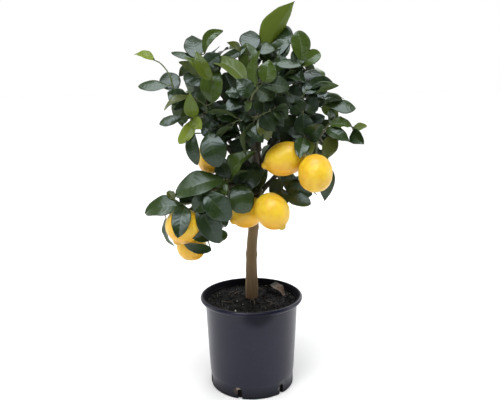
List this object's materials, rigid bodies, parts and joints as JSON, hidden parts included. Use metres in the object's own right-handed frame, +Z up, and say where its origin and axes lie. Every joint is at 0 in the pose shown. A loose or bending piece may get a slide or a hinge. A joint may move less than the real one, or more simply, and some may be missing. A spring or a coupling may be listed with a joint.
{
  "type": "potted lemon tree",
  "caption": "Young lemon tree with a leafy crown and hanging yellow fruit, standing in a round dark plastic nursery pot.",
  "frame": {"origin": "middle of the pot's flat base, on the surface that the pot stands on", "axes": "+Z up along the trunk, -Y towards the front of the tree, +X to the right as seen from the front"},
  "size_m": [0.4208, 0.3399, 0.7335],
  "materials": {
    "pot_plastic": "semi-gloss dark blue-grey, moulded",
    "soil": "moist peat with wood fibres",
    "dry_leaf": "dry and papery",
    "bark": "smooth young bark with fine upright streaks",
    "green_wood": "smooth green twig",
    "lemon_peel": "waxy with fine pores",
    "foliage": "glossy upper side, duller and paler underside"
  },
  "bodies": {
    "root": {"nursery_pot": "pot_plastic", "potting_soil": "soil", "dried_leaf": "dry_leaf", "trunk": "bark", "branch_leader": "bark", "branch_left": "bark", "branch_right": "bark", "branch_front": "bark", "branch_upper_left": "bark", "branch_low_left": "bark", "branch_low_right": "bark", "branch_back_left": "bark", "branch_back_right": "bark", "branch_back": "bark", "lemon_upper_middle": "lemon_peel", "lemon_right": "lemon_peel", "lemon_centre_front": "lemon_peel", "lemon_centre_left": "lemon_peel", "lemon_low_left": "lemon_peel", "lemon_low_under": "lemon_peel", "lemon_left_middle": "lemon_peel", "stalk_upper_middle": "green_wood", "stalk_right": "green_wood", "stalk_centre_front": "green_wood", "stalk_centre_left": "green_wood", "stalk_low_left": "green_wood", "stalk_low_under": "green_wood", "stalk_left_middle": "green_wood", "shoot_far_left": "foliage", "shoot_upper_left": "foliage", "shoot_left_upper": "foliage", "shoot_left_lower": "foliage", "shoot_left_centre": "foliage", "shoot_centre_left": "foliage", "shoot_centre": "foliage", "shoot_front_top": "foliage", "shoot_top_left": "foliage", "shoot_top": "foliage", "shoot_top_right": "foliage", "shoot_right_upper": "foliage", "shoot_right": "foliage", "shoot_far_right": "foliage", "shoot_right_centre": "foliage", "shoot_over_lemons": "foliage", "shoot_behind_lemons": "foliage", "shoot_low_left_upper": "foliage", "shoot_low_left": "foliage", "shoot_low_under": "foliage", "shoot_low_centre": "foliage", "shoot_low_trunk": "foliage", "shoot_low_right": "foliage", "shoot_back_left_tip": "foliage", "shoot_back_left_side": "foliage", "shoot_back_left_low": "foliage", "shoot_back_right_tip": "foliage", "shoot_back_right_side": "foliage", "shoot_back_right_low": "foliage", "shoot_back_tip": "foliage", "shoot_back_middle": "foliage", "shoot_inner_left": "foliage"}
  },
  "joints": []
}
